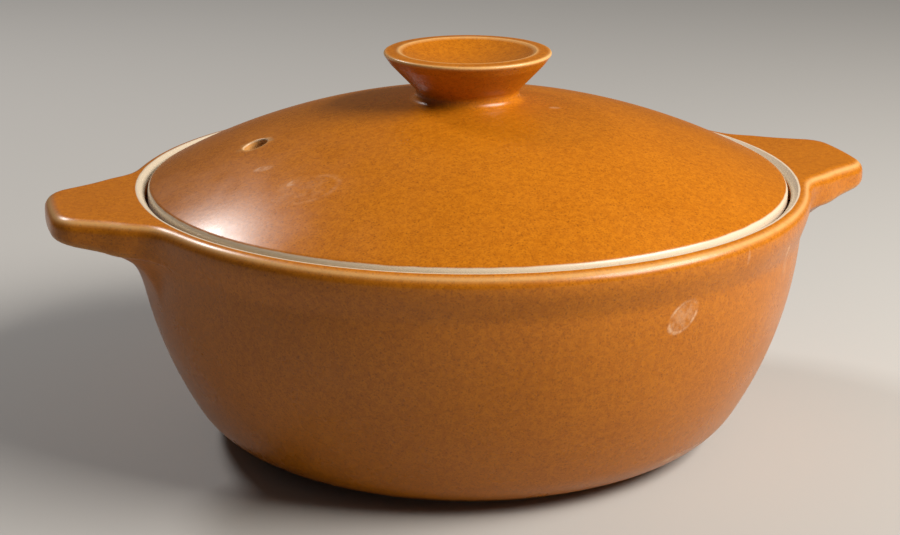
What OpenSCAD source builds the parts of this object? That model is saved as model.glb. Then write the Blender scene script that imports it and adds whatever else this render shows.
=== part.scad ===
// Covered vegetable dish in brown glazed stoneware: a round dish with two
// lug handles in one piece with it, and a domed lid with a dished knob.
// Millimetres, +Z up, origin at the middle of the foot, handles along X.

/* [Body] */
// Height of the rim above the table
body_h = 85; // [78:0.5:110]
// Diameter of the wall where it stands upright
body_d = 221; // [180:1:226]
// Height at which the wall stands upright
upright_z = 79; // [66:0.5:79]
// Radius of the wall's upright curve
wall_curve_r = 130; // [100:1:150]
// Radius of the turn from the wall into the base
corner_r = 24; // [16:1:32]
// Thickness of the wall and the floor
wall_t = 7.5; // [5:0.1:9]

/* [Foot] */
// How far the foot ring stands in from the wall's upright face
foot_in = 35.5; // [33:0.5:60]
// Width of the foot ring
foot_w = 7; // [4:0.5:12]
// Height of the foot ring
foot_h = 1.5; // [1:0.1:4]

/* [Rim] */
// How far the rolled lip stands out from the wall
lip_out = 2.6; // [1:0.1:4]
// Radius of the lip's outer edge
lip_r = 3.8; // [2:0.1:4.5]
// Height over which the lip runs back into the wall
lip_run = 12; // [5:0.5:12]
// Width of the flat on top of the lip
lip_flat = 0.4; // [0.3:0.1:1.2]
// Thickness of the wall around the lid
gallery_t = 4; // [3:0.1:6]
// Height of the sloping bevel inside the rim
bevel_h = 2; // [1:0.1:4]
// Depth of the lid's ledge below the rim
ledge_z = 6; // [5:0.1:9]
// Width of the ledge
ledge_w = 5.5; // [4:0.1:8]
// Thickness of the ledge at its inner edge
ledge_t = 3.5; // [2:0.1:6]
// Height over which the ledge runs back into the wall
ledge_run = 4; // [2:0.5:8]

/* [Handles] */
// Distance from the dish's axis to a handle's end
reach = 138.5; // [135:0.5:160]
// Width of a handle near its end
handle_w = 43; // [34:1:54]
// Radius of a handle's end corners
end_r = 12; // [6:0.5:14]
// Radius of the sweep from a handle's side into the rim
sweep_r = 110; // [50:1:150]
// Thickness of a handle at its end
end_t = 8; // [6.2:0.1:10]
// Slope of a handle's underside, in degrees
under_slope = 9; // [0:0.5:12]
// Radius of the hollow between a handle's underside and the wall
hollow_r = 16; // [8:0.5:20]
// Radius of a handle's upper edge
upper_edge_r = 3.5; // [1.5:0.1:3.5]
// Radius of a handle's lower edge
lower_edge_r = 2.5; // [1:0.1:2.6]
// How far inside the lip's face a handle's sides end
root_sink = 2; // [1:0.1:3]
// Width over which a handle's underside rises to the lip at its sides
side_fade = 14; // [6:0.5:20]

/* [Lid] */
// Gap between the lid's edge and the wall around it
lid_gap = 1; // [0.5:0.1:2]
// Height of the dome's crown above the rim
crown_h = 27; // [15:0.5:40]
// Thickness of the dome
lid_t = 5.5; // [4:0.1:8]
// Radius of the lid's upper edge
lid_edge_r = 2.5; // [1.5:0.1:3.5]
// How far below the rim the lid is widest
lid_edge_z = 1.3; // [0.5:0.1:2]
// Radius of the lid's lower edge
seat_edge_r = 1.5; // [0.5:0.1:2]
// Width of the flat seat under the lid's edge
seat_w = 7; // [5:0.1:12]

/* [Knob] */
// Diameter of the knob's top
knob_d = 55.2; // [50:0.2:70]
// Height of the knob's top above the dome's crown
knob_h = 15.5; // [12:0.5:24]
// Diameter of the knob's neck, where it leaves the dome
neck_d = 28; // [24:0.5:38]
// Height of the knob's upright edge
knob_edge_h = 4; // [3:0.1:6]
// Radius of the hollow around the knob's neck
neck_r = 2.5; // [1:0.1:4]
// Diameter of the hollow in the knob's top
cup_d = 45.2; // [30:0.2:48]
// Depth of the hollow in the knob's top
cup_z = 5; // [2:0.1:8]

/* [Vent] */
// Diameter of the steam hole
vent_d = 8.4; // [5:0.1:10]
// Width of the bevel around the steam hole
vent_edge = 0.4; // [0.4:0.1:2]
// Distance from the lid's axis to the steam hole
vent_x = 71; // [45:0.5:85]

/* [Hidden] */
$fn = 180;
glaze = [0.72, 0.42, 0.15];

// The small radii that soften the ledge, the knob's rim and its shoulder
ledge_edge_r = 0.8;
knob_edge_r = 1.2;
cup_edge_r = 1;
shoulder_r = 4;

// The wall's curve, and the corner curve that it passes into
wall_c = [body_d / 2 - wall_curve_r, upright_z];
corner_a = asin((upright_z - foot_h - corner_r) / (wall_curve_r - corner_r));
corner_c = wall_c + (wall_curve_r - corner_r) * [cos(corner_a), -sin(corner_a)];

// Outer radius of the foot ring
foot_rad = body_d / 2 - foot_in;

// Radius of the wall at height z, measured t inside its outer face
function wall_rad(z, t = 0) = wall_c[0] + sqrt(pow(wall_curve_r - t, 2) - pow(z - upright_z, 2));

// The rim, from the lip inwards to the ledge
lip_z = body_h - lip_r;
lip_rad = wall_rad(lip_z) + lip_out;
mouth_rad = lip_rad - lip_r - lip_flat;
gallery_rad = body_d / 2 - gallery_t;
ledge_rad = gallery_rad - ledge_w;
seat_z = body_h - ledge_z;

// The dome, which runs into the lid's rounded edge
lid_rad = gallery_rad - lid_gap;
crown_z = body_h + crown_h;
edge_c = [lid_rad - lid_edge_r, body_h - lid_edge_z];
dome_fall = crown_z - lid_edge_r - edge_c[1];
dome_r = lid_edge_r + (pow(edge_c[0], 2) + pow(dome_fall, 2)) / (2 * dome_fall);
dome_c = [0, crown_z - dome_r];
edge_a = atan2(edge_c[1] - dome_c[1], edge_c[0]);

// The knob and the hollow in its top
knob_z = crown_z + knob_h;
cup_r = (pow(cup_d / 2, 2) + pow(cup_z, 2)) / (2 * cup_z);

// Height of the dome, t inside its outer face, at distance x from the axis
function dome_z(x, t = 0) = dome_c[1] + sqrt(pow(dome_r - t, 2) - x * x);

// Points on an arc about c, from angle a0 to angle a1 in n steps
function arc(c, r, a0, a1, n) =
    [for (i = [0:n]) c + r * [cos(a0 + (a1 - a0) * i / n), sin(a0 + (a1 - a0) * i / n)]];

// A corner b between a and c, rounded to radius r in n steps
function rounded(a, b, c, r, n = 5) =
    let (u = (a - b) / norm(a - b), v = (c - b) / norm(c - b))
    let (half = acos(u * v) / 2, o = b + (u + v) / norm(u + v) * r / sin(half))
    let (p = b + u * r / tan(half) - o, q = b + v * r / tan(half) - o)
    let (a0 = atan2(p[1], p[0]), turn = atan2(q[1], q[0]) - a0)
    arc(o, r, a0, a0 + turn - 360 * round(turn / 360), n);

// A step from 0 to 1 with level ends
function smooth(t) = let (u = max(0, min(1, t))) u * u * (3 - 2 * u);

// Half section of the dish's body, without its foot
function body_section() =
    let (run_z = lip_z - lip_run, rise_z = seat_z - ledge_t - ledge_run)
    let (ledge_low = [ledge_rad, seat_z - ledge_t], gallery_low = [gallery_rad, seat_z])
    concat(
        [[0, foot_h]],
        arc(corner_c, corner_r, -90, -corner_a, 12),
        arc(wall_c, wall_curve_r, -corner_a, asin((run_z - upright_z) / wall_curve_r), 20),
        [for (i = [1:8]) let (z = run_z + lip_run * i / 8) [wall_rad(z) + lip_out * smooth(i / 8), z]],
        arc([lip_rad - lip_r, lip_z], lip_r, 0, 90, 6),
        [[mouth_rad, body_h], [gallery_rad, body_h - bevel_h]],
        rounded([gallery_rad, body_h], gallery_low, [ledge_rad, seat_z], ledge_edge_r, 3),
        rounded(gallery_low, [ledge_rad, seat_z], ledge_low, ledge_edge_r, 3),
        [ledge_low],
        arc(wall_c, wall_curve_r - wall_t, asin((rise_z - upright_z) / (wall_curve_r - wall_t)), -corner_a, 18),
        arc(corner_c, corner_r - wall_t, -corner_a, -90, 10),
        [[0, foot_h + wall_t]]
    );

// Half section of the lid with its knob
function lid_section() =
    let (knob = knob_d / 2, cup = cup_d / 2, neck = neck_d / 2, seat = lid_rad - seat_edge_r - seat_w)
    let (shoulder = [knob, knob_z - knob_edge_h], neck_p = [neck, dome_z(neck)])
    let (dome_x = neck + 2 * neck_r, rise_x = seat - lid_t / 2)
    let (cup_arc = arc([0, knob_z - cup_z + cup_r], cup_r, -90, -acos(cup / cup_r), 10))
    concat(
        [for (i = [0:9]) cup_arc[i]],
        rounded(cup_arc[9], [cup, knob_z], [knob, knob_z], cup_edge_r, 3),
        rounded([cup, knob_z], [knob, knob_z], shoulder, knob_edge_r),
        rounded([knob, knob_z], shoulder, neck_p, shoulder_r),
        rounded(shoulder, neck_p, [dome_x, dome_z(dome_x)], neck_r),
        arc(dome_c, dome_r, acos(dome_x / dome_r), edge_a, 24),
        arc(edge_c, lid_edge_r, edge_a, 0, 6),
        rounded([lid_rad, edge_c[1]], [lid_rad, seat_z], [seat, seat_z], seat_edge_r, 4),
        [[seat, seat_z]],
        arc(dome_c, dome_r - lid_t, acos(rise_x / (dome_r - lid_t)), 90, 20)
    );

// The handle's plan is three arcs: its end, a corner, and a sweep into the lip.
// Each keeps its centre when the outline is taken in by the width of an edge.
root_rad = lip_rad - root_sink;
end_a = asin((handle_w / 2 - end_r) / (reach - end_r));
end_c = (reach - end_r) * [cos(end_a), sin(end_a)];
root_a = end_a + acos((pow(root_rad + sweep_r, 2) + pow(reach - end_r, 2) - pow(sweep_r + end_r, 2))
    / (2 * (root_rad + sweep_r) * (reach - end_r)));
sweep_c = (root_rad + sweep_r) * [cos(root_a), sin(root_a)];
side_p = end_c + (sweep_c - end_c) * end_r / (sweep_r + end_r);
side_a = atan2(side_p[1], side_p[0]);

// Distance from the origin, at angle a, to a circle about c: its far side, or its near side
function polar(c, r, a, far) =
    let (t = atan2(c[1], c[0]) - a, h = norm(c) * sin(t))
    norm(c) * cos(t) + (far ? 1 : -1) * sqrt(max(0, r * r - h * h));

// Radius of the handle's outline at angle a, taken in by d
function plan_rad(a, d) =
    let (p = end_c + (sweep_c - end_c) * (end_r - d) / (sweep_r + end_r), b = abs(a))
    b <= end_a ? reach - d
        : b <= atan2(p[1], p[0]) ? polar(end_c, end_r - d, b, true)
        : b < root_a ? polar(sweep_c, sweep_r + d, b, false)
        : root_rad - d;

// The handle starts inside the wall: its top beside the lip's flat, its
// underside behind the wall's face, and its core deeper still
top_start = 0.35;
under_start = 0.8;
core_start = 1;
core_depth = 4;
top_rad = lip_rad - lip_r + top_start;
hollow_rad = wall_rad(body_h - end_t - hollow_r) - under_start;
core_rad = hollow_rad - core_start;

// The hollow stops just short of upright, and the lower edge short of the hollow
hollow_share = 0.98;
edge_short = 0.6;
in_rad = hollow_rad + (1 - hollow_share) * hollow_r;
edge_stop = in_rad + edge_short;

// Depth of the handle's underside below the rim at radius r
function under_depth(r) =
    let (x = max(0, hollow_rad + hollow_r - r))
    end_t + tan(under_slope) * (reach - r) + hollow_r - sqrt(max(0, pow(hollow_r, 2) - x * x));

// How far an edge of radius r turns at angle a before it reaches radius stop, up to a quarter
function edge_turn(a, r, stop) =
    let (out = plan_rad(a, 0))
    acos(max(0, 1 - (out - stop) / (out - plan_rad(a, r))));

// Section of the handle at angle a, as radius and height: the underside
// rises to the depth of the lip's edges where the handle runs into the rim
function handle_section(a) =
    let (out = plan_rad(a, 0), lip_depth = upper_edge_r + lower_edge_r)
    let (full = smooth((out - lip_rad) / side_fade))
    let (top_turn = edge_turn(a, upper_edge_r, top_rad), low_turn = edge_turn(a, lower_edge_r, edge_stop))
    let (low = plan_rad(a, lower_edge_r * (1 - cos(low_turn))))
    let (depths = [for (i = [0:7]) let (r = low + (in_rad - low) * i / 7)
        [r, lip_depth + (under_depth(r) - lip_depth) * full]])
    let (top = [for (i = [0:4]) let (f = top_turn * (1 - i / 4))
        [plan_rad(a, upper_edge_r * (1 - cos(f))), body_h - upper_edge_r * (1 - sin(f))]])
    let (core = [core_rad, body_h - core_depth])
    concat(
        [core, top_turn < 90 ? (core + top[0]) / 2 : [top_rad, body_h]],
        top,
        [for (i = [0:2]) let (f = low_turn * i / 3)
            [plan_rad(a, lower_edge_r * (1 - cos(f))), body_h - depths[0][1] + lower_edge_r * (sin(low_turn) - sin(f))]],
        [for (d = depths) [d[0], body_h - d[1]]],
        [[core_rad, body_h - depths[7][1]]]
    );

// Angles at which the handle's sections stand, closest at its end corners
half_angles = concat(
    [for (i = [0:1]) end_a * i / 2],
    [for (i = [0:5]) end_a + (side_a - end_a) * i / 6],
    [for (i = [0:10]) side_a + (root_a - side_a) * pow(i / 10, 1.4)]
);
angles = concat([for (i = [len(half_angles) - 1:-1:1]) -half_angles[i]], half_angles);

module handle() {
    sections = [for (a = angles) [for (p = handle_section(a)) [p[0] * cos(a), p[0] * sin(a), p[1]]]];
    n = len(sections[0]);
    m = len(sections);
    skin = [for (j = [0:m - 2], i = [0:n - 1], half = [0, 1])
        let (p = j * n + i, q = j * n + (i + 1) % n)
        half == 0 ? [p, p + n, q] : [q, p + n, q + n]];
    ends = [[for (i = [0:n - 1]) i], [for (i = [n - 1:-1:0]) (m - 1) * n + i]];
    polyhedron(points = [for (s = sections, p = s) p], faces = concat(skin, ends));
}

module dish() color(glaze) {
    rotate_extrude() {
        polygon(body_section());
        translate([foot_rad - foot_w, 0]) square([foot_w, foot_h + wall_t / 2]);
    }
    for (turn = [0, 180]) rotate([0, 0, turn]) handle();
}

// The steam hole stands square to the dome
module vent() {
    translate([0, 0, dome_c[1]]) rotate([0, -asin(vent_x / dome_r), 0]) {
        translate([0, 0, dome_r - 2 * lid_t]) cylinder(d = vent_d, h = 3 * lid_t);
        translate([0, 0, dome_r - vent_edge]) cylinder(d1 = vent_d, d2 = vent_d + 4 * vent_edge, h = 2 * vent_edge);
    }
}

module lid() color(glaze) difference() {
    rotate_extrude() polygon(lid_section());
    vent();
}

dish();
lid();
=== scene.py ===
"""A covered vegetable dish in brown glazed stoneware, modelled on its packed frame."""
import math

import bpy
import numpy as np
from bpy.props import FloatProperty, FloatVectorProperty, IntProperty, PointerProperty
from mathutils import Matrix, Vector


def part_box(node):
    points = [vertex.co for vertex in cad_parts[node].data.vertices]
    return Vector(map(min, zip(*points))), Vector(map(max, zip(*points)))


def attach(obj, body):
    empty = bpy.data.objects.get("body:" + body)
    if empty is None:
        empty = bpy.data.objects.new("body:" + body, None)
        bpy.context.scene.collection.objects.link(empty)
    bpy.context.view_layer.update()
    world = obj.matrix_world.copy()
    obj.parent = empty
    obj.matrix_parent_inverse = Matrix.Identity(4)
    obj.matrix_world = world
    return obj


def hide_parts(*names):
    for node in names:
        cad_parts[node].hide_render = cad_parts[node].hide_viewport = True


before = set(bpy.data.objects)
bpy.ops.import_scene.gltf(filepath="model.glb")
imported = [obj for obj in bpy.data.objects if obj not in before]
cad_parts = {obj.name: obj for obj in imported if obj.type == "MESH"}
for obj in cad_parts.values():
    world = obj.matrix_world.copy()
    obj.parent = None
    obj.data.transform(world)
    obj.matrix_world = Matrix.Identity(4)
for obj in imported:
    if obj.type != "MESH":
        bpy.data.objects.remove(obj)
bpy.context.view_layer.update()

bl_info = {
    "name": "Covered Vegetable Dish",
    "version": (1, 0, 0),
    "blender": (4, 5, 0),
    "location": "3D View > Sidebar > Dish",
    "description": "Models a stoneware dish with lug handles and a domed lid, glazed and lit",
    "category": "Add Mesh",
}

MM = 0.001
AXIS = (0, 0, 1)
WELD = 1e-6
dish_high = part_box("dish")[1]
lid_low, lid_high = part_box("lid")

# Height on the wall where the rows that a handle draws out begin
UNDER_Z = 50 * MM
# Rows of the wall and a handle's underside, of its lower edge, its face and its upper edge
UNDER_ROWS, LOW_ROWS, FACE_ROWS, EDGE_ROWS = 26, 6, 4, 10
# Rows across the level top, as shares of the way from the edge to the mouth
TOP_SHARES = (0.03, 0.3, 0.6, 0.85, 0.97)
# Roundings inside the dish: at the mouth, at the bevel's foot, on the ledge and below it
MOUTH_ROUND, BEVEL_ROUND, LEDGE_ROUND, THROAT_ROUND = 0.4 * MM, 0.6 * MM, 0.8 * MM, 1 * MM
# Points of the outline from the mouth to the bevel's foot, and from there to the ledge's inner edge
BEVEL_POINTS, GALLERY_POINTS = 7, 9
# Width over which a handle's own sections take over from the plain wall's, and how often they are eased
OWN_RUN, EASE_PASSES = 10 * MM, 20
# Steepest part of the hollow under a handle, as a share of its radius
HOLLOW_SHARE = 0.98
# Columns of the steam hole, and the angle from which an edge shows as sharp
DRILL_COLUMNS, SHARP = 48, math.radians(40)
# Finish of a vertex: all brown, all cream, and on the ragged border between the two glazes
BROWN, CREAM, BORDER = -3, 3, 0.5


def length(name, description, default):
    """A size in metres, as the panel shows it."""
    return FloatProperty(name=name, description=description, default=default, subtype="DISTANCE",
                         unit="LENGTH", precision=4)


def colour(name, description, default):
    """A colour, as the panel shows it."""
    return FloatVectorProperty(name=name, description=description, default=default, subtype="COLOR",
                               size=3, min=0, max=1)


class DishSizes(bpy.types.PropertyGroup):
    """Sizes of the dish and its handles"""
    rim_z: length("Rim height", "Height of the rim above the table", dish_high[2])
    body_r: length("Body radius", "Radius of the wall where it stands upright", 110.5 * MM)
    upright_z: length("Upright height", "Height at which the wall stands upright", 79 * MM)
    curve_r: length("Wall curve", "Radius of the wall's upright curve", 130 * MM)
    corner_r: length("Corner", "Radius of the turn from the wall into the base", 24 * MM)
    wall: length("Wall", "Thickness of the wall and the floor", 7.5 * MM)
    foot_r: length("Foot radius", "Outer radius of the foot ring", 75 * MM)
    foot_w: length("Foot width", "Width of the foot ring", 7 * MM)
    foot_h: length("Foot height", "Height of the foot ring", 1.5 * MM)
    lip_out: length("Lip", "How far the lip stands out from the wall", 2.53 * MM)
    lip_r: length("Lip radius", "Radius of the lip's outer edge", 3.8 * MM)
    lip_run: length("Lip run", "Height over which the lip runs back into the wall", 12 * MM)
    lip_flat: length("Lip flat", "Width of the flat on top of the lip", 0.4 * MM)
    gallery_r: length("Gallery radius", "Radius of the wall around the lid", 106.5 * MM)
    bevel_h: length("Bevel", "Height of the sloping bevel inside the rim", 2 * MM)
    ledge_r: length("Ledge radius", "Radius inside the lid's ledge", 101 * MM)
    ledge_t: length("Ledge thickness", "Thickness of the ledge at its inner edge", 3.5 * MM)
    ledge_run: length("Ledge run", "Height over which the ledge runs back into the wall", 4 * MM)
    reach: length("Reach", "Distance from the axis to a handle's end", dish_high[0])
    handle_w: length("Handle width", "Width of a handle near its end", 44.5 * MM)
    end_r: length("End corners", "Radius of a handle's end corners", 12 * MM)
    sweep_r: length("Sweep", "Radius of the sweep from a handle's side into the rim", 240 * MM)
    root_sink: length("Root", "How far inside the lip a handle's sweep ends", 16 * MM)
    root_blend: length("Root blend", "Width over which the sweep flows into the lip", 16 * MM)
    side_fade: length("Side fade", "Width over which a handle gains its depth", 13 * MM)
    end_t: length("Handle thickness", "Thickness of a handle at its end", 8 * MM)
    under_slope: FloatProperty(name="Underside slope", description="Slope of a handle's underside",
                               default=math.radians(9), subtype="ANGLE", unit="ROTATION")
    hollow_r: length("Hollow", "Radius between a handle's underside and the wall", 16 * MM)
    upper_edge_r: length("Upper edge", "Radius of a handle's upper edge", 4 * MM)
    lower_edge_r: length("Lower edge", "Radius of a handle's lower edge", 2.5 * MM)
    cream_r: length("Cream edge", "Radius at which the cream glaze inside the rim begins", 109.4 * MM)


class LidSizes(bpy.types.PropertyGroup):
    """Sizes of the lid, its knob and its steam hole"""
    lid_r: length("Lid radius", "Radius of the lid at its widest", lid_high[1])
    seat_z: length("Seat height", "Height of the ledge that carries the lid", lid_low[2])
    seat_w: length("Seat width", "Width of the flat seat under the lid's edge", 7 * MM)
    seat_edge_r: length("Seat edge", "Radius of the lid's lower edge", 1.5 * MM)
    edge_r: length("Lid edge", "Radius of the lid's upper edge", 2.5 * MM)
    edge_z: length("Lid edge height", "Height at which the lid is widest", 83.7 * MM)
    crown_z: length("Crown height", "Height of the dome's crown", 112 * MM)
    wall: length("Lid wall", "Thickness of the dome", 5.5 * MM)
    cream_r: length("Cream edge", "Radius at which the brown glaze gives way to the cream edge", 104.9 * MM)
    knob_z: length("Knob height", "Height of the knob's top", lid_high[2])
    knob_r: length("Knob radius", "Radius of the knob's top", 28.1 * MM)
    knob_edge_h: length("Knob edge", "Height of the knob's steep edge", 4 * MM)
    knob_taper: length("Knob taper", "How far the knob's edge leans in over its height", 2.6 * MM)
    neck_r: length("Neck radius", "Radius of the knob's neck where it leaves the dome", 14 * MM)
    neck_fillet: length("Neck fillet", "Radius of the hollow around the neck", 2.5 * MM)
    shoulder_r: length("Shoulder", "Radius of the knob's shoulder", 6 * MM)
    cup_r: length("Cup radius", "Radius of the hollow in the knob's top", 22.6 * MM)
    cup_z: length("Cup depth", "Depth of the hollow in the knob's top", 5 * MM)
    vent_r: length("Vent radius", "Radius of the steam hole", 4.1 * MM)
    vent_edge: length("Vent edge", "Width of the rounded edge around the steam hole", 0.5 * MM)
    vent_x: length("Vent place", "Distance from the lid's axis to the steam hole", 71 * MM)


class GlazeColours(bpy.types.PropertyGroup):
    """Colours of the glazes and the clay"""
    amber: colour("Amber", "The brown glaze where it is thickest", (0.38, 0.108, 0.003))
    honey: colour("Honey", "The brown glaze where it runs thinner", (0.53, 0.170, 0.006))
    iron: colour("Iron", "The fine iron specks in the brown glaze", (0.13, 0.033, 0.003))
    # Also the colour of the painted highlight along the edges and on the knob's brim
    thin_glaze_and_highlight: colour("Thin glaze", "The brown glaze where an edge wears it thin", (0.82, 0.53, 0.22))
    cream: colour("Cream", "The cream glaze of the inside and of the lid's edge", (0.62, 0.52, 0.39))
    tan: colour("Tan", "The few specks in the cream glaze", (0.5, 0.36, 0.24))
    clay: colour("Clay", "The bare clay under the foot", (0.55, 0.43, 0.32))
    # Also the colour of the painted sheen on the lid's left front
    scuff_and_sheen: colour("Scuff", "Pale marks of wear on the glaze", (0.72, 0.50, 0.32))


class StageSettings(bpy.types.PropertyGroup):
    """Camera, lights and floor"""
    distance: length("Distance", "From the camera to the point it looks at", 676 * MM)
    lens: FloatProperty(name="Lens", description="Focal length", default=80, subtype="DISTANCE_CAMERA",
                        unit="CAMERA")
    azimuth: FloatProperty(name="Azimuth", description="Turn of the camera about the dish",
                           default=math.radians(-15.3), subtype="ANGLE", unit="ROTATION")
    elevation: FloatProperty(name="Elevation", description="Height of the camera, as an angle",
                             default=math.radians(17.3), subtype="ANGLE", unit="ROTATION")
    aim_side: length("Aim to the side", "How far right of the axis the camera looks", -5.78 * MM)
    aim_z: length("Aim height", "Height of the point the camera looks at", 52.9 * MM)
    key: FloatProperty(name="Key light", description="Strength of the key light", default=20, unit="POWER")
    sheen: FloatProperty(name="Back light", description="Strength of the soft light at the back left",
                         default=7.5, unit="POWER")
    fill: FloatProperty(name="Fill", description="Strength of the light from all around", default=0.055)
    floor: colour("Floor", "Colour of the floor", (0.43, 0.418, 0.40))


def smooth(t):
    """A step from 0 to 1 with level ends."""
    t = min(max(t, 0.0), 1.0)
    return t * t * (3 - 2 * t)


def stripe(away, width, strength):
    """Strength of a soft stripe at a distance from its middle."""
    return strength * math.exp(-(away / width) ** 2)


def mix(a, b, t):
    """The value a share t of the way from a to b."""
    return a + (b - a) * t


def mixed(p, q, t):
    """The point a share t of the way from p to q."""
    return tuple(mix(a, b, t) for a, b in zip(p, q))


def arc(centre, radius, start, end, steps):
    """Points on an arc, with its angles in degrees."""
    turns = [math.radians(mix(start, end, i / steps)) for i in range(steps + 1)]
    return [(centre[0] + radius * math.cos(t), centre[1] + radius * math.sin(t)) for t in turns]


def line(start, end, steps):
    """Points from start towards end, without the end."""
    return [mixed(start, end, i / steps) for i in range(steps)]


def rounded(before, corner, after, radius, steps=5):
    """A corner between two straight runs, rounded."""
    corner = Vector(corner)
    u, v = (Vector(before) - corner).normalized(), (Vector(after) - corner).normalized()
    half = u.angle(v) / 2
    centre = corner + (u + v).normalized() * radius / math.sin(half)
    p, q = corner + u * radius / math.tan(half) - centre, corner + v * radius / math.tan(half) - centre
    start = math.degrees(math.atan2(p.y, p.x))
    turn = math.degrees(math.atan2(q.y, q.x)) - start
    turn -= 360 * round(turn / 360)
    return arc(centre, radius, start, start + turn, steps)


def spaced(path, count):
    """As many points, evenly spaced along a path from its first point to its last."""
    runs = [0.0]
    for p, q in zip(path, path[1:]):
        runs.append(runs[-1] + math.dist(p, q))
    points, k = [], 0
    for i in range(count):
        run = runs[-1] * i / (count - 1)
        while k < len(path) - 2 and runs[k + 1] < run:
            k += 1
        span = runs[k + 1] - runs[k]
        points.append(mixed(path[k], path[k + 1], (run - runs[k]) / span if span else 0))
    return points


def eased(points, passes):
    """A run of points with its bends softened, its two ends kept."""
    for _ in range(passes):
        middle = [mixed(mixed(p, r, 0.5), q, 0.5) for p, q, r in zip(points, points[1:], points[2:])]
        points = [points[0], *middle, points[-1]]
    return points


def turned(name, outline, columns):
    """A turned piece: its outline is drawn point by point, then spun about the axis."""
    bpy.ops.object.select_all(action="DESELECT")
    bpy.ops.mesh.primitive_plane_add(size=MM)
    piece = bpy.context.object
    piece.name = piece.data.name = name
    bpy.ops.object.mode_set(mode="EDIT")
    bpy.ops.mesh.merge(type="CENTER")
    bpy.ops.transform.translate(value=(outline[0][0], 0, outline[0][1]))
    for (x, z), (next_x, next_z) in zip(outline, outline[1:]):
        bpy.ops.mesh.extrude_region_move(TRANSFORM_OT_translate={"value": (next_x - x, 0, next_z - z)})
    bpy.ops.mesh.select_all(action="SELECT")
    bpy.ops.mesh.spin(steps=columns, angle=math.tau, center=(0, 0, 0), axis=AXIS)
    bpy.ops.mesh.select_all(action="SELECT")
    bpy.ops.mesh.remove_doubles(threshold=WELD)
    bpy.ops.mesh.normals_make_consistent(inside=False)
    bpy.ops.object.mode_set(mode="OBJECT")
    bpy.ops.object.shade_smooth()
    return piece


def paint(piece, name, weight):
    """Stores how much of a finish each vertex has, from its index and place."""
    layer = piece.data.attributes.new(name, "FLOAT", "POINT")
    layer.data.foreach_set("value", [weight(v.index, v.co) for v in piece.data.vertices])


def nearest_rows(piece, outline):
    """The point of the outline from which each vertex of a turned piece was spun."""
    places = np.array([v.co for v in piece.data.vertices])
    outline = np.array(outline)
    off = np.abs(np.hypot(places[:, 0], places[:, 1])[:, None] - outline[:, 0])
    off += np.abs(places[:, 2][:, None] - outline[:, 1])
    return off.argmin(axis=1).tolist()


class Body:
    """Outline of the dish's body, in runs of points from the foot over the rim to the floor."""

    def __init__(self, s):
        self.s = s
        self.wall_x = s.body_r - s.curve_r
        lean = (s.upright_z - s.foot_h - s.corner_r) / (s.curve_r - s.corner_r)
        self.corner_a = math.degrees(math.asin(lean))
        turn = math.radians(self.corner_a)
        self.corner = (self.wall_x + (s.curve_r - s.corner_r) * math.cos(turn),
                       s.upright_z - (s.curve_r - s.corner_r) * math.sin(turn))
        self.lip_z = s.rim_z - s.lip_r
        self.run_z = self.lip_z - s.lip_run
        self.lip_x = self.wall_r(self.lip_z) + s.lip_out
        self.mouth_x = self.lip_x - s.lip_r - s.lip_flat

    def wall_r(self, z, inside=0.0):
        """Radius of the plain wall at a height, taken in by the wall's thickness on its inside."""
        s = self.s
        return self.wall_x + math.sqrt((s.curve_r - inside) ** 2 - (z - s.upright_z) ** 2)

    def face_r(self, z):
        """Radius of the wall's outer face, with the lip."""
        return self.wall_r(z) + self.s.lip_out * smooth((z - self.run_z) / self.s.lip_run)

    def below(self):
        """The base, the foot ring, the corner and the wall below the handles."""
        s, foot = self.s, self.s.foot_r
        soft = 0.5 * MM
        # Degrees of the corner left out above the foot's rounded edge
        clear = 1
        foot_in = foot - s.foot_w
        foot_turn = math.degrees(math.acos((foot - self.corner[0]) / s.corner_r))
        points = line((0, s.foot_h), (foot_in, s.foot_h), 8)
        points += rounded((0, s.foot_h), (foot_in, s.foot_h), (foot_in, 0), soft, 3)
        points += rounded((foot_in, s.foot_h), (foot_in, 0), (foot, 0), soft, 3)
        points += rounded((foot_in, 0), (foot, 0), (foot, s.foot_h), soft, 3)
        points += arc(self.corner, s.corner_r, -foot_turn + clear, -self.corner_a, 14)[:-1]
        start = -self.corner_a
        end = math.degrees(math.asin((UNDER_Z - s.upright_z) / s.curve_r))
        points += arc((self.wall_x, s.upright_z), s.curve_r, start, end, 16)[:-1]
        return points

    def inner(self):
        """The bevel inside the rim, the gallery, the ledge, the inner wall and the floor."""
        s = self.s
        mouth, gallery = (self.mouth_x, s.rim_z), (s.gallery_r, s.rim_z - s.bevel_h)
        seat_z = bpy.context.scene.lid_sizes.seat_z
        corner, ledge = (s.gallery_r, seat_z), (s.ledge_r, seat_z)
        low = (s.ledge_r, seat_z - s.ledge_t)
        rise_z = low[1] - s.ledge_run
        wall_c = (self.wall_x, s.upright_z)
        start = math.degrees(math.asin((rise_z - s.upright_z) / (s.curve_r - s.wall)))
        points = rounded((self.lip_x, s.rim_z), mouth, gallery, MOUTH_ROUND, 4)
        points += rounded(mouth, gallery, corner, BEVEL_ROUND, 3)
        points += rounded(gallery, corner, ledge, LEDGE_ROUND, 3)
        points += rounded(corner, ledge, low, LEDGE_ROUND, 4)
        points += rounded(ledge, low, (self.wall_r(rise_z, s.wall), rise_z), THROAT_ROUND, 3)
        points += arc(wall_c, s.curve_r - s.wall, start, -self.corner_a, 20)[:-1]
        points += arc(self.corner, s.corner_r - s.wall, -self.corner_a, -90, 12)
        points += line((self.corner[0], s.foot_h + s.wall), (0, s.foot_h + s.wall), 8)[1:]
        points.append((0, s.foot_h + s.wall))
        return points


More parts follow.
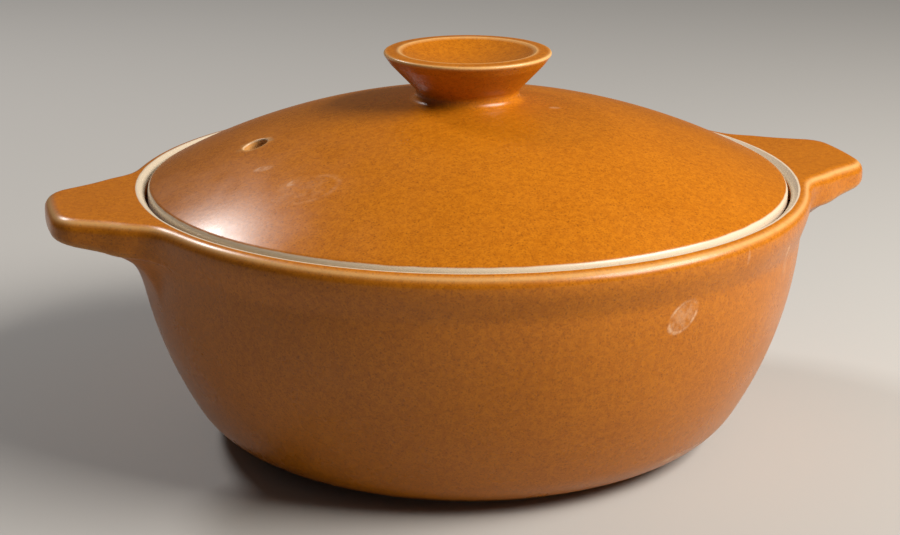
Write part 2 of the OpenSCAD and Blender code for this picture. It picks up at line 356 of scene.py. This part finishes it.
class Handle:
    """Outer face and rim of the dish at each angle, drawn out into a lug at the handles."""

    def __init__(self, s, body):
        self.s, self.body = s, body
        self.root = body.lip_x - s.root_sink
        end, sweep = s.reach - s.end_r, self.root + s.sweep_r
        self.end_a = math.asin((s.handle_w / 2 - s.end_r) / end)
        self.end_c = Vector((end * math.cos(self.end_a), end * math.sin(self.end_a)))
        spread = (sweep ** 2 + end ** 2 - (s.sweep_r + s.end_r) ** 2) / (2 * sweep * end)
        self.root_a = self.end_a + math.acos(spread)
        self.sweep_c = sweep * Vector((math.cos(self.root_a), math.sin(self.root_a)))
        self.hollow_x = body.wall_r(s.rim_z - s.end_t - s.hollow_r)

    def plan_r(self, a, inset):
        """Radius of the lug's own outline at an angle, taken in by an inset."""
        s = self.s
        share = (s.end_r - inset) / (s.sweep_r + s.end_r)
        side = self.end_c + (self.sweep_c - self.end_c) * share
        if a <= self.end_a:
            return s.reach - inset
        if a >= self.root_a:
            return self.root - inset
        if a <= math.atan2(side.y, side.x):
            centre, radius, way = self.end_c, s.end_r - inset, 1
        else:
            centre, radius, way = self.sweep_c, s.sweep_r + inset, -1
        turn = math.atan2(centre.y, centre.x) - a
        off = centre.length * math.sin(turn)
        return centre.length * math.cos(turn) + way * math.sqrt(max(radius * radius - off * off, 0))

    def out_r(self, a, inset=0.0):
        """Radius of the rim's whole outline, where the lug flows into the lip."""
        lip, lug = self.body.lip_x - inset, self.plan_r(a, inset)
        near = max(1 - abs(lip - lug) / self.s.root_blend, 0)
        return max(lip, lug) + near * near * self.s.root_blend / 4

    def depth(self, r, full):
        """Depth of the underside below the rim, from a lip's where full is 0 to a lug's where it is 1."""
        s = self.s
        x = min(max(self.hollow_x + s.hollow_r - r, 0), HOLLOW_SHARE * s.hollow_r)
        sag = s.hollow_r - math.sqrt(s.hollow_r ** 2 - x * x)
        lip = s.upper_edge_r + s.lower_edge_r
        return mix(lip, s.end_t + math.tan(s.under_slope) * (s.reach - r) + sag, full)

    def plain(self):
        """The wall and the lip away from the handles, in the same rows as a lug."""
        s, body = self.s, self.body
        low_z, face_z = body.run_z + 1 * MM, body.run_z + 3 * MM
        rows = self.wall_rows(UNDER_Z, low_z, UNDER_ROWS)
        rows += self.wall_rows(low_z, face_z, LOW_ROWS)
        rows += self.wall_rows(face_z, body.lip_z, FACE_ROWS)
        edge = arc((body.lip_x - s.lip_r, body.lip_z), s.lip_r, 0, 90, EDGE_ROWS)
        return rows + edge + self.top(edge[-1][0])

    def wall_rows(self, low_z, high_z, count):
        """Rows up the wall, from a height up to the last one below another."""
        heights = [mix(low_z, high_z, i / count) for i in range(count)]
        return [(self.body.face_r(z), z) for z in heights]

    def top(self, edge_x):
        """Rows on the level top, from the edge to the mouth."""
        last_x = self.body.mouth_x + MOUTH_ROUND / 2
        return [(mix(edge_x, last_x, share), self.s.rim_z) for share in TOP_SHARES]

    def lug(self, a):
        """The same rows where the lug is drawn out."""
        s, body = self.s, self.body
        full = smooth((self.out_r(a) - body.lip_x) / s.side_fade)
        low_x = self.out_r(a, s.lower_edge_r)
        low_z = s.rim_z - self.depth(low_x, full)
        steps = 120
        under = []
        for i in range(steps + 1):
            r = mix(low_x, self.hollow_x - 1 * MM, i / steps)
            z = s.rim_z - self.depth(r, full)
            if r <= body.face_r(z):
                break
            under.append((r, z))
        join_z = under[-1][1] if under else low_z
        path = self.wall_rows(UNDER_Z, join_z, steps) + under[::-1] + [(low_x, low_z)]
        rows = eased(spaced(path, UNDER_ROWS + 1), EASE_PASSES)[:-1]
        for i in range(LOW_ROWS):
            t = math.pi / 2 * (1 - i / LOW_ROWS)
            rows.append((self.out_r(a, s.lower_edge_r * (1 - math.cos(t))),
                         low_z + s.lower_edge_r * (1 - math.sin(t))))
        face_low, face_high = low_z + s.lower_edge_r, s.rim_z - s.upper_edge_r
        rows += [(self.out_r(a), mix(face_low, face_high, i / FACE_ROWS)) for i in range(FACE_ROWS)]
        for i in range(EDGE_ROWS + 1):
            t = math.pi / 2 * i / EDGE_ROWS
            rows.append((self.out_r(a, s.upper_edge_r * (1 - math.cos(t))),
                         face_high + s.upper_edge_r * math.sin(t)))
        return rows + self.top(rows[-1][0])

    def rows(self, a):
        """The rows at an angle from the handle's axis."""
        own = smooth((self.out_r(a) - self.body.lip_x) / OWN_RUN)
        plain = self.plain()
        return [mixed(p, q, own) for p, q in zip(plain, self.lug(a))] if own else plain

    def angles(self, across, around):
        """Angles from the handle's axis to a quarter turn, even along the lug's outline."""
        steps = 400
        # The fan of angles runs a little past the handle's root
        past_root = 1.05
        fan = [self.root_a * past_root * i / steps for i in range(steps + 1)]
        places = [(self.out_r(a) * math.cos(a), self.out_r(a) * math.sin(a)) for a in fan]
        runs = [0.0]
        for p, q in zip(places, places[1:]):
            runs.append(runs[-1] + math.dist(p, q))
        angles, k = [], 0
        for i in range(across):
            while runs[k + 1] < runs[-1] * i / across:
                k += 1
            share = (runs[-1] * i / across - runs[k]) / (runs[k + 1] - runs[k])
            angles.append(mix(fan[k], fan[k + 1], share))
        return angles + [mix(fan[-1], math.pi / 2, i / around) for i in range(around + 1)]


class DISH_OT_body(bpy.types.Operator):
    """Turn the dish and draw out its two handles"""
    bl_idname = "dish.body"
    bl_label = "Dish"
    bl_options = {"REGISTER", "UNDO"}

    across: IntProperty(name="Columns across a handle", description="Columns in half a handle", default=44)
    around: IntProperty(name="Columns beside it", description="Columns from a handle to a quarter turn",
                        default=30)

    def execute(self, context):
        sizes = context.scene.dish_sizes
        body = Body(sizes)
        handle = Handle(sizes, body)
        below, plain, inner = body.below(), handle.plain(), body.inner()
        outline = below + plain + inner
        angles = handle.angles(self.across, self.around)
        quarter = len(angles) - 1
        piece = turned("dish_body", outline, 4 * quarter)

        sections = [below + handle.rows(a) + inner for a in angles]
        rows = nearest_rows(piece, outline)
        step = math.pi / 2 / quarter
        for vertex in piece.data.vertices:
            side, place = divmod(round(math.atan2(vertex.co.y, vertex.co.x) / step), quarter)
            column = place if side % 2 == 0 else quarter - place
            turn = angles[column] if side % 2 == 0 else -angles[column]
            turn += math.pi / 2 * (side if side % 2 == 0 else side + 1)
            r, z = sections[column][rows[vertex.index]]
            vertex.co = (r * math.cos(turn), r * math.sin(turn), z)
        piece.data.update()

        low_edge = len(below) + UNDER_ROWS
        edge = low_edge + LOW_ROWS + FACE_ROWS
        gallery = len(below) + len(plain) + BEVEL_POINTS
        ledge = gallery + GALLERY_POINTS

        def thin_glaze_and_highlight(index, place):
            """The glaze is thinner along the upper edge, where its pale stripe also stands for a painted
            highlight, and along a handle's lower edge.
            """
            # The upper stripe lies where the key light's highlight falls on the rounded edge: thinned glaze
            # and a painted highlight
            upper_row, lower_row = edge + 0.55 * EDGE_ROWS, low_edge + LOW_ROWS / 2
            lug_start, lug_run = body.lip_x + 3 * MM, 8 * MM
            lug = smooth((math.hypot(place.x, place.y) - lug_start) / lug_run)
            upper = stripe(rows[index] - upper_row, 1.4, 0.6)
            return max(upper, stripe(rows[index] - lower_row, 2, 0.3) * lug)

        def inside(index, place):
            """The bevel and the inside are cream, the wall around the lid is brown."""
            row = rows[index]
            if row < edge or gallery <= row < ledge:
                return BROWN
            if row >= ledge:
                return CREAM
            return (sizes.cream_r - math.hypot(place.x, place.y)) / (1 * MM) + BORDER

        paint(piece, "thin_glaze_and_highlight", thin_glaze_and_highlight)
        paint(piece, "inside", inside)
        paint(piece, "bare", lambda index, place: 1 - smooth(place.z / (1 * MM)))
        piece.data.materials.append(glaze("dish_glaze", DISH_MARKS, DISH_RINGS))
        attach(piece, "root")
        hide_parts("dish")
        return {"FINISHED"}


class DISH_OT_lid(bpy.types.Operator):
    """Turn the lid with its knob and drill its steam hole"""
    bl_idname = "dish.lid"
    bl_label = "Lid"
    bl_options = {"REGISTER", "UNDO"}

    columns: IntProperty(name="Columns", description="Columns around the lid", default=256)

    def execute(self, context):
        s = context.scene.lid_sizes
        edge = (s.lid_r - s.edge_r, s.edge_z)
        fall = s.crown_z - s.edge_r - s.edge_z
        dome_r = s.edge_r + (edge[0] ** 2 + fall ** 2) / (2 * fall)
        dome = (0, s.crown_z - dome_r)

        def dome_at(x, inside=0.0):
            """The point of the dome at a radius, taken in by the wall's thickness on its inside."""
            return (x, dome[1] + math.sqrt((dome_r - inside) ** 2 - x * x))

        cup_r = (s.cup_r ** 2 + s.cup_z ** 2) / (2 * s.cup_z)
        cup = arc((0, s.knob_z - s.cup_z + cup_r), cup_r, -90,
                  -math.degrees(math.acos(s.cup_r / cup_r)), 14)
        brim_drop = 0.3 * MM
        cup_edge, brim = (s.cup_r, s.knob_z), (s.knob_r, s.knob_z - brim_drop)
        shoulder = (s.knob_r - s.knob_taper, s.knob_z - s.knob_edge_h)
        neck = dome_at(s.neck_r)
        start_x = s.neck_r + 2 * s.neck_fillet
        start = dome_at(start_x)
        edge_a = math.degrees(math.atan2(edge[1] - dome[1], edge[0]))
        seat_x = s.lid_r - s.seat_edge_r - s.seat_w
        seat = (seat_x, s.seat_z)
        rise_x = seat_x - s.wall / 2
        rise = dome_at(rise_x, s.wall)

        cup_round, brim_round, seat_round = 1 * MM, 0.7 * MM, 0.8 * MM
        brim_in = rounded(cup[-2], cup_edge, brim, cup_round, 5)
        brim_out = rounded(cup_edge, brim, shoulder, brim_round, 7)
        under_brim = rounded(brim, shoulder, neck, s.shoulder_r, 7)
        outline = cup[:-1] + brim_in + line(brim_in[-1], brim_out[0], 6)[1:] + brim_out
        outline += line(brim_out[-1], under_brim[0], 4)[1:] + under_brim
        outline += rounded(shoulder, neck, start, s.neck_fillet, 8)
        outline += arc(dome, dome_r, math.degrees(math.acos(start_x / dome_r)), edge_a, 40)[:-1]
        outline += arc(edge, s.edge_r, edge_a, 0, 12)
        outline += rounded((s.lid_r, s.edge_z), (s.lid_r, s.seat_z), seat, s.seat_edge_r, 5)
        outline += rounded((s.lid_r, s.seat_z), seat, rise, seat_round, 3)
        outline += arc(dome, dome_r - s.wall, math.degrees(math.acos(rise_x / (dome_r - s.wall))), 90, 30)
        piece = turned("lid_dome", outline, self.columns)
        self.drill(piece, s, dome, dome_r)

        hole = Vector((-s.vent_x, 0, 0)) + Vector((0, 0, dome_at(s.vent_x)[1]))
        hole_axis = Vector((-s.vent_x, 0, hole.z - dome[1])).normalized()
        middle_r = dome_r - s.wall / 2

        def from_hole(place):
            """Distance from the hole's axis, and height above the dome along it."""
            off = (place - hole).dot(hole_axis)
            return (place - hole - hole_axis * off).length, off

        def inside(index, place):
            """The underside and the lid's edge are cream; the hole's wall is brown below its pale edge, a
            painted shade deep in the hole.
            """
            r = math.hypot(place.x, place.y)
            away, off = from_hole(place)
            pale_depth, close, through = 1.5 * MM, 0.3 * MM, 1.2 * s.wall
            if math.hypot(r, place.z - dome[1]) < middle_r:
                return CREAM
            # Painted shade: below its pale edge the hole's wall is brown, darkening the inside of the hole
            if away < s.vent_r + close and off > -through:
                return BORDER if off > -pale_depth else BROWN
            return (r - s.cream_r) / (1 * MM) + BORDER

        def thin_glaze_and_highlight(index, place):
            """The glaze is thinner on the knob's brim, on its cup's edge and around the hole, and these
            pale lines also stand for painted highlights on those edges.
            """
            here = (math.hypot(place.x, place.y), place.z)
            brim_line = stripe(math.dist(here, brim), 0.9 * MM, 1.6)
            cup_line = stripe(math.dist(here, cup_edge), 0.6 * MM, 0.6)
            away, off = from_hole(place)
            vent = stripe(away - s.vent_r - s.vent_edge / 2, 0.6 * MM, 0.5)
            return max(brim_line, cup_line, vent if abs(off) < s.wall else 0)

        paint(piece, "inside", inside)
        paint(piece, "thin_glaze_and_highlight", thin_glaze_and_highlight)
        paint(piece, "bare", lambda index, place: 1 - smooth((place.z - s.seat_z) / (1 * MM)))
        piece.data.materials.append(glaze("lid_glaze", LID_MARKS_AND_SHEEN, LID_SHEEN_RINGS, DARK_SPOTS))
        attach(piece, "root")
        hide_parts("lid")
        return {"FINISHED"}

    def drill(self, piece, s, dome, dome_r):
        """Cuts the steam hole square to the dome, with a rounded edge."""
        proud, deep = 1 * MM, 1.6 * s.wall
        outline = [(0, -deep), (s.vent_r, -deep)]
        outline += line((s.vent_r, -s.wall), (s.vent_r, -s.vent_edge), 4)
        outline += arc((s.vent_r + s.vent_edge, -s.vent_edge), s.vent_edge, 180, 95, 6)
        outline += [(s.vent_r + 2 * s.vent_edge, proud), (0, proud)]
        drill = turned("drill", outline, DRILL_COLUMNS)
        lean = Matrix.Rotation(-math.asin(s.vent_x / dome_r), 4, "Y")
        middle, outwards = Matrix.Translation((0, 0, dome[1])), Matrix.Translation((0, 0, dome_r))
        drill.data.transform(middle @ lean @ outwards)
        bpy.ops.object.select_all(action="DESELECT")
        bpy.context.view_layer.objects.active = piece
        piece.select_set(True)
        cut = piece.modifiers.new("steam hole", "BOOLEAN")
        cut.operation, cut.solver, cut.object = "DIFFERENCE", "EXACT", drill
        bpy.ops.object.modifier_apply(modifier=cut.name)
        bpy.data.objects.remove(drill)
        bpy.ops.object.shade_smooth_by_angle(angle=SHARP)


# Worn places, as the middle, half sizes and turns of an oval in mm and degrees, and its strength; among the
# lid's is a painted sheen
DISH_MARKS = (
    ((36.8, -104.2, 65.8), (7.2, 5, 4.8), (0, -40, 19), 0.28),
    ((60.1, -94.9, 80.0), (0.8, 1.5, 3.2), (0, 0, 0), 0.25),
    ((82.4, -74.6, 74.8), (1.0, 1.6, 3.8), (0, 0, 0), 0.7),
    ((82.4, -73.4, 69.0), (1.5, 2.2, 4.0), (0, 0, 0), 0.25),
    ((49.2, -77.2, 10.4), (13, 12, 1.5), (0, 0, 0), 0.7),
)
DISH_RINGS = (((36.8, -104.2, 65.8), (7.2, 5, 4.8), (0, -40, 19), 0.6),)
LID_MARKS_AND_SHEEN = (
    ((-72.5, -24.0, 98.3), (4.5, 2.2, 2.5), (0, 0, -20), 0.3),
    ((-66.5, -41.0, 97.5), (3.4, 1.8, 1.6), (0, 0, 20), 0.4),
    # Painted sheen: a faint pale haze where the back light's reflection spreads over the lid's left front
    ((-66.0, -46.0, 96.8), (13, 9, 6), (0, 0, 0), 0.08),
    ((25.1, -15.6, 110.0), (2.6, 1.3, 1.5), (0, 0, 10), 0.25),
)
# Painted sheen: the ring-shaped border of that pale haze
LID_SHEEN_RINGS = (((-62.0, -48.0, 96.8), (12, 8, 6), (0, 0, 10), 0.12),)
DARK_SPOTS = (
    ((4.3, -26.9, 123.8), (0.7, 0.8, 0.6), (0, 0, 0), 0.8),
    ((-12.3, -24.1, 123.2), (0.6, 0.7, 0.6), (0, 0, 0), 0.8),
    ((8.2, -26.0, 125.6), (0.6, 0.7, 0.5), (0, 0, 0), 0.7),
)


class Nodes:
    """A material's node tree, with short ways to add and join its nodes."""

    def __init__(self, name):
        self.material = bpy.data.materials.new(name)
        self.material.use_nodes = True
        self.tree = self.material.node_tree
        self.shader = self.tree.nodes["Principled BSDF"]
        self.place = self.add("ShaderNodeTexCoord").outputs["Object"]

    def add(self, kind, **settings):
        """Adds a node with its settings."""
        node = self.tree.nodes.new(kind)
        for key, value in settings.items():
            setattr(node, key, value)
        return node

    def join(self, source, socket):
        """Links a node's output to a socket, or sets the socket to a constant."""
        if hasattr(source, "is_output"):
            self.tree.links.new(source, socket)
        else:
            socket.default_value = source

    def math(self, operation, *values):
        """The result of a sum or comparison."""
        node = self.add("ShaderNodeMath", operation=operation)
        for value, socket in zip(values, node.inputs):
            self.join(value, socket)
        return node.outputs[0]

    def ramp(self, value, low, high, to_low=0.0, to_high=1.0):
        """A smooth step from one level to another as a value goes from low to high."""
        node = self.add("ShaderNodeMapRange", interpolation_type="SMOOTHSTEP")
        for socket, source in zip(node.inputs, (value, low, high, to_low, to_high)):
            self.join(source, socket)
        return node.outputs[0]

    def noise(self, size, detail=2.0, roughness=0.5, offset=(0, 0, 0)):
        """Noise whose grain is about as large as size."""
        spot = self.add("ShaderNodeVectorMath", operation="ADD")
        self.join(self.place, spot.inputs[0])
        spot.inputs[1].default_value = offset
        node = self.add("ShaderNodeTexNoise")
        self.join(spot.outputs[0], node.inputs["Vector"])
        node.inputs["Scale"].default_value = 1 / size
        node.inputs["Detail"].default_value = detail
        node.inputs["Roughness"].default_value = roughness
        return node.outputs["Fac"]

    def specks(self, size, share):
        """Small round specks, one in some of the cells of a grid of that size."""
        node = self.add("ShaderNodeTexVoronoi")
        self.join(self.place, node.inputs["Vector"])
        node.inputs["Scale"].default_value = 1 / size
        chosen = self.add("ShaderNodeSeparateColor")
        self.join(node.outputs["Color"], chosen.inputs[0])
        spot = self.ramp(node.outputs["Distance"], 0.16, 0.34, 1, 0)
        return self.math("MULTIPLY", spot, self.math("LESS_THAN", chosen.outputs[0], share))

    def ovals(self, marks, ring=False):
        """The strongest of some marks at each place: ovals with soft borders, or their borders alone."""
        total = 0.0
        for middle, sizes, turns, strength in marks:
            oval = self.add("ShaderNodeMapping", vector_type="TEXTURE")
            self.join(self.place, oval.inputs["Vector"])
            oval.inputs["Location"].default_value = [m * MM for m in middle]
            oval.inputs["Rotation"].default_value = [math.radians(t) for t in turns]
            oval.inputs["Scale"].default_value = [m * MM for m in sizes]
            away = self.add("ShaderNodeVectorMath", operation="LENGTH")
            self.join(oval.outputs[0], away.inputs[0])
            mark = self.ramp(away.outputs["Value"], 0.8 if ring else 0.6, 1, strength, 0)
            if ring:
                mark = self.math("MULTIPLY", mark, self.ramp(away.outputs["Value"], 0.66, 0.82))
            total = self.math("MAXIMUM", total, mark)
        return total

    def painted(self, name):
        """How much of a finish the piece's vertices were given."""
        return self.add("ShaderNodeAttribute", attribute_name=name).outputs["Fac"]

    def blend_value(self, share, a, b):
        """A share of the way from one value to another."""
        node = self.add("ShaderNodeMix", data_type="FLOAT")
        for source, socket in ((share, node.inputs["Factor"]), (a, node.inputs[2]), (b, node.inputs[3])):
            self.join(source, socket)
        return node.outputs[0]

    def blend(self, share, a, b):
        """A share of the way from one colour to another."""
        node = self.add("ShaderNodeMix", data_type="RGBA")
        self.join(share, node.inputs["Factor"])
        for source, socket in ((a, node.inputs[6]), (b, node.inputs[7])):
            self.join((*source, 1) if isinstance(source, (tuple, list)) else source, socket)
        return node.outputs[2]


def glaze(name, marks, rings, spots=()):
    """The brown glaze, cream where it gives way, thinner on the edges with a painted highlight along them,
    and with wear at its marks, among which the lid has a painted sheen.
    """
    c = bpy.context.scene.glaze_colours
    n = Nodes(name)

    # The brown glaze: large clouds and small mottle between two browns, with iron grain and specks
    cloud = n.ramp(n.noise(22 * MM, 3), 0.2, 0.8, 0.3, 0.7)
    grain = n.ramp(n.noise(0.6 * MM, 2, 0.6, (0.3, 0.1, 0.2)), 0.45, 0.72)
    mottle = n.ramp(n.noise(1.7 * MM, 3, 0.6, (0.2, 0.2, 0.1)), 0.35, 0.65)
    brown = n.blend(n.blend_value(0.5, cloud, mottle), tuple(c.amber), tuple(c.honey))
    brown = n.blend(n.math("MULTIPLY", grain, 0.4), brown, tuple(c.iron))
    brown = n.blend(n.math("MULTIPLY", n.specks(1.1 * MM, 0.22), 0.45), brown, tuple(c.iron))
    # The pale stripe along the edges, broken by noise: thinned glaze and a painted highlight
    edge_glaze_and_highlight = n.math("MULTIPLY", n.painted("thin_glaze_and_highlight"), n.ramp(n.noise(5 * MM, 3), 0.1, 0.5, 0.55, 0.85))
    brown = n.blend(edge_glaze_and_highlight, brown, tuple(c.thin_glaze_and_highlight))

    # The cream glaze, with a few tan specks, and its ragged border
    pale = n.blend(n.math("MULTIPLY", n.specks(1.6 * MM, 0.06), 0.35), tuple(c.cream), tuple(c.tan))
    ragged = n.math("MULTIPLY_ADD", n.noise(6 * MM, 2), 0.3, n.painted("inside"))
    finish = n.blend(n.ramp(ragged, 0.45, 0.85), brown, pale)

    # Wear: patchy scuffs and rings, with a painted sheen among them as a pale haze and its ring on the
    # lid's left front, then the dark spots and the bare clay
    patchy = n.ramp(n.noise(4.5 * MM, 3, 0.6, (0.4, 0.1, 0.3)), 0.4, 0.6, 0.15, 1)
    scuffs_and_sheen = n.math("MULTIPLY", n.math("MAXIMUM", n.ovals(marks), n.ovals(rings, True)), patchy)
    broken = n.ramp(n.noise(1.1 * MM, 3, 0.7, (0.1, 0.3, 0)), 0.3, 0.65, 0.5, 1)
    scuffs_and_sheen = n.math("MULTIPLY", scuffs_and_sheen, broken)
    finish = n.blend(scuffs_and_sheen, finish, tuple(c.scuff_and_sheen))
    finish = n.blend(n.ovals(spots), finish, tuple(c.iron))
    finish = n.blend(n.painted("bare"), finish, tuple(c.clay))
    n.join(finish, n.shader.inputs["Base Color"])

    # Satin surface, rougher where it is scuffed, where the lid's painted sheen lies, or bare, and faintly
    # uneven
    rough = n.ramp(n.noise(14 * MM, 3), 0.3, 0.7, 0.26, 0.32)
    rough = n.math("MULTIPLY_ADD", scuffs_and_sheen, 0.3, rough)
    n.join(n.blend_value(n.painted("bare"), rough, 0.8), n.shader.inputs["Roughness"])
    n.shader.inputs["IOR"].default_value = 1.5
    n.shader.inputs["Specular IOR Level"].default_value = 0.32
    bump = n.add("ShaderNodeBump")
    bump.inputs["Strength"].default_value = 0.09
    bump.inputs["Distance"].default_value = 0.15 * MM
    n.join(n.noise(1.4 * MM, 2), bump.inputs["Height"])
    n.join(bump.outputs[0], n.shader.inputs["Normal"])
    return n.material


# The two soft lights: places, widths and heights, and tints, and the point that they face
KEY_PLACE, KEY_SIZES, KEY_TINT = (0.65, -0.48, 0.71), (0.7, 0.4), (1.0, 0.95, 0.88)
SHEEN_PLACE, SHEEN_SIZES, SHEEN_TINT = (-0.53, 0.79, 0.90), (0.24, 0.16), (1.0, 0.98, 0.97)
LIGHTS_AIM = (0, 0, 0.06)
FLOOR_SIZE = 8


class DISH_OT_stage(bpy.types.Operator):
    """Set out the floor, the lights and the camera"""
    bl_idname = "dish.stage"
    bl_label = "Stage"
    bl_options = {"REGISTER", "UNDO"}

    def execute(self, context):
        s = context.scene.stage_settings
        self.floor(s)
        self.camera(context, s)
        self.light("key", s.key, KEY_PLACE, KEY_SIZES, KEY_TINT)
        self.light("sheen", s.sheen, SHEEN_PLACE, SHEEN_SIZES, SHEEN_TINT)
        world = context.scene.world or bpy.data.worlds.new("world")
        context.scene.world = world
        world.use_nodes = True
        world.node_tree.nodes["Background"].inputs["Color"].default_value = (1, 1, 1, 1)
        world.node_tree.nodes["Background"].inputs["Strength"].default_value = s.fill
        context.scene.view_settings.view_transform = "Standard"
        return {"FINISHED"}

    def floor(self, s):
        """Adds a wide pale floor."""
        bpy.ops.object.select_all(action="DESELECT")
        bpy.ops.mesh.primitive_plane_add(size=FLOOR_SIZE)
        floor = bpy.context.object
        floor.name = "floor"
        n = Nodes("floor")
        n.shader.inputs["Base Color"].default_value = (*s.floor, 1)
        n.shader.inputs["Roughness"].default_value = 0.9
        floor.data.materials.append(n.material)

    def camera(self, context, s):
        """Adds the camera, turned and raised about the point that it looks at."""
        back = Vector((math.sin(s.azimuth) * math.cos(s.elevation),
                       -math.cos(s.azimuth) * math.cos(s.elevation), math.sin(s.elevation)))
        right = Vector((math.cos(s.azimuth), math.sin(s.azimuth), 0))
        bpy.ops.object.camera_add(location=right * s.aim_side + Vector((0, 0, s.aim_z)) + back * s.distance,
                                  rotation=back.to_track_quat("Z", "Y").to_euler())
        camera = bpy.context.object
        camera.data.lens = s.lens
        camera.data.sensor_width = 36
        camera.data.clip_start = 0.01
        context.scene.camera = camera

    def light(self, name, power, place, sizes, tint):
        """Adds a soft oblong light that faces the dish."""
        back = Vector(place) - Vector(LIGHTS_AIM)
        bpy.ops.object.light_add(type="AREA", location=place,
                                 rotation=back.to_track_quat("Z", "Y").to_euler())
        lamp = bpy.context.object
        lamp.name = name
        lamp.data.energy = power
        lamp.data.shape = "RECTANGLE"
        lamp.data.size, lamp.data.size_y = sizes
        lamp.data.color = tint


class DISH_PT_panel(bpy.types.Panel):
    """Lists the dish's sizes, colours and steps"""
    bl_idname = "DISH_PT_panel"
    bl_label = "Covered Vegetable Dish"
    bl_space_type = "VIEW_3D"
    bl_region_type = "UI"
    bl_category = "Dish"

    def draw(self, context):
        for operator in (DISH_OT_body, DISH_OT_lid, DISH_OT_stage):
            self.layout.operator(operator.bl_idname)
        for group in GROUPS:
            box = self.layout.box()
            box.label(text=GROUPS[group].__doc__)
            for name in GROUPS[group].__annotations__:
                box.prop(getattr(context.scene, group), name)


GROUPS = {"dish_sizes": DishSizes, "lid_sizes": LidSizes, "glaze_colours": GlazeColours,
          "stage_settings": StageSettings}
CLASSES = (*GROUPS.values(), DISH_OT_body, DISH_OT_lid, DISH_OT_stage, DISH_PT_panel)


def register():
    for cls in CLASSES:
        bpy.utils.register_class(cls)
    for name, group in GROUPS.items():
        setattr(bpy.types.Scene, name, PointerProperty(type=group))


def unregister():
    for name in GROUPS:
        delattr(bpy.types.Scene, name)
    for cls in reversed(CLASSES):
        bpy.utils.unregister_class(cls)


def main():
    register()
    bpy.ops.dish.stage()
    bpy.ops.dish.body()
    bpy.ops.dish.lid()


if __name__ == "__main__":
    main()
